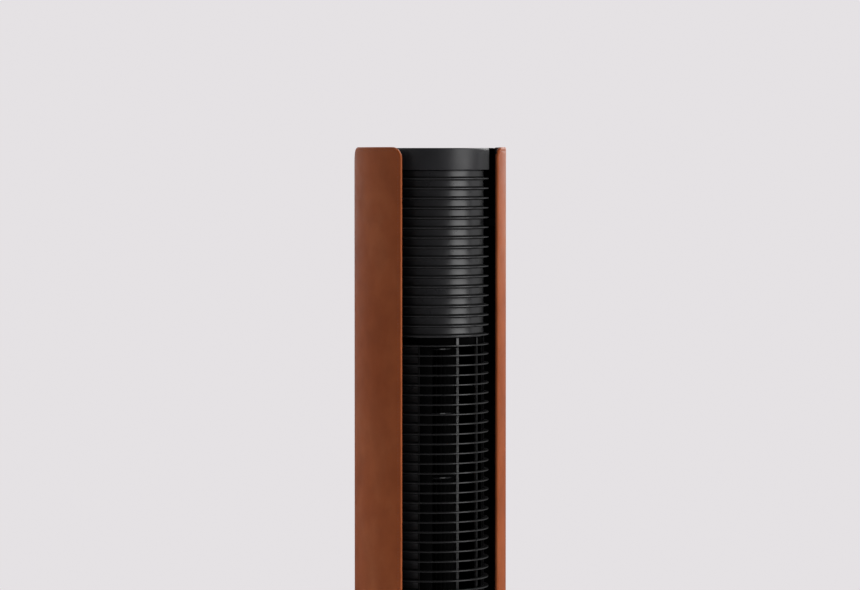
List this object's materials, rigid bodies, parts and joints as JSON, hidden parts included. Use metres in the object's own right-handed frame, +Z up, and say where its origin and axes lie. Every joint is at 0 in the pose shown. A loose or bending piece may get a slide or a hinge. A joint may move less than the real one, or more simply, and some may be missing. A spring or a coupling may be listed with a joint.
{
  "type": "air purifier",
  "caption": "Tower air purifier: finned black column with a cross-flow fan and a rear filter door, between two leather-clad side shells, swinging on a round base.",
  "frame": {"origin": "on the floor, under the middle of the round base", "axes": "+Z up, front of the tower towards -Y, +X to the right seen from the front"},
  "size_m": [0.28, 0.28, 0.94],
  "materials": {
    "rubber": "matt",
    "steel": "zinc plated",
    "satin_black": "fine satin moulding",
    "nylon": "natural nylon",
    "motor_can": "drawn and satin",
    "circuit_board": "solder mask",
    "column_black": "semi-gloss moulding",
    "brass": "turned",
    "panel_black": "polished",
    "shell_panel": "matt",
    "leather": "tan, satin",
    "impeller_black": "glossy moulding",
    "mesh": "woven nylon mesh",
    "filter_frame": "matt",
    "filter_paper": "pleated filter paper",
    "tab": "woven ribbon",
    "button_grey": "satin"
  },
  "bodies": {
    "base": {"rubber_feet": "rubber", "base_plate": "steel", "base_cover": "satin_black", "base_screws": "steel", "pedestal": "satin_black", "pedestal_screws": "steel", "thrust_washer": "nylon", "retaining_plate": "steel", "swing_motor": "motor_can", "power_board": "circuit_board", "power_inlet": "satin_black"},
    "swing_pinion": {"swing_pinion": "nylon"},
    "fan": {"impeller": "impeller_black", "impeller_shafts": "steel"},
    "filter_door": {"filter_door": "column_black", "prefilter_mesh": "mesh"},
    "filter_cartridge": {"filter_frame": "filter_frame", "filter_media": "filter_paper", "filter_tab": "tab"},
    "door_latch": {"door_latch": "button_grey"},
    "power_button": {"power_button": "button_grey"},
    "speed_button": {"speed_button": "button_grey"},
    "swing_button": {"swing_button": "button_grey"},
    "timer_button": {"timer_button": "button_grey"},
    "tower": {"turntable": "satin_black", "bearing_bush": "nylon", "swing_gear": "nylon", "bottom_ring": "column_black", "lower_drum": "column_black", "lower_bulkhead": "satin_black", "fan_motor": "motor_can", "motor_screws": "steel", "left_wall": "column_black", "right_wall": "column_black", "outlet_grille": "column_black", "stabiliser": "column_black", "volute": "satin_black", "upper_bulkhead": "satin_black", "shaft_bearing": "brass", "upper_drum": "column_black", "top_cap": "column_black", "control_panel": "panel_black", "control_board": "circuit_board", "button_mat": "rubber", "particle_sensor": "satin_black", "hinge_pin": "steel", "latch_keeper": "satin_black", "left_shell": "shell_panel", "left_leather": "leather", "right_shell": "shell_panel", "right_leather": "leather", "shell_rails": "satin_black", "shell_standoffs": "satin_black", "shell_screws": "steel"}
  },
  "joints": [
    {"name": "tower_swing", "type": "hinge", "parent": "base", "child": "tower", "pos_m": [0, 0, 0.0465], "axis": [0, 0, 1], "range_deg": [-40, 40]},
    {"name": "pinion_spin", "type": "hinge", "parent": "base", "child": "swing_pinion", "pos_m": [0, -0.05, 0.04], "axis": [0, 0, 1], "range_deg": [-162, 162]},
    {"name": "fan_spin", "type": "hinge", "parent": "tower", "child": "fan", "pos_m": [0, 0, 0.45], "axis": [0, 0, 1], "continuous": true},
    {"name": "door_hinge", "type": "hinge", "parent": "tower", "child": "filter_door", "pos_m": [0.05982, 0.02789, 0.45], "axis": [0, 0, -1], "range_deg": [0, 90]},
    {"name": "filter_lift", "type": "slide", "parent": "filter_door", "child": "filter_cartridge", "axis": [0, 0, 1], "range_m": [0, 0.005]},
    {"name": "latch_press", "type": "slide", "parent": "filter_door", "child": "door_latch", "axis": [0.7716, -0.6361, 0], "range_m": [0, 0.002], "stiffness_N_per_m": 500},
    {"name": "power_press", "type": "slide", "parent": "tower", "child": "power_button", "axis": [0, 0, -1], "range_m": [0, 0.0008], "stiffness_N_per_m": 600},
    {"name": "speed_press", "type": "slide", "parent": "tower", "child": "speed_button", "axis": [0, 0, -1], "range_m": [0, 0.0008], "stiffness_N_per_m": 600},
    {"name": "swing_press", "type": "slide", "parent": "tower", "child": "swing_button", "axis": [0, 0, -1], "range_m": [0, 0.0008], "stiffness_N_per_m": 600},
    {"name": "timer_press", "type": "slide", "parent": "tower", "child": "timer_button", "axis": [0, 0, -1], "range_m": [0, 0.0008], "stiffness_N_per_m": 600}
  ],
  "couplings": [
    {"joint": "pinion_spin", "follows": "tower_swing", "ratio": -4}
  ]
}
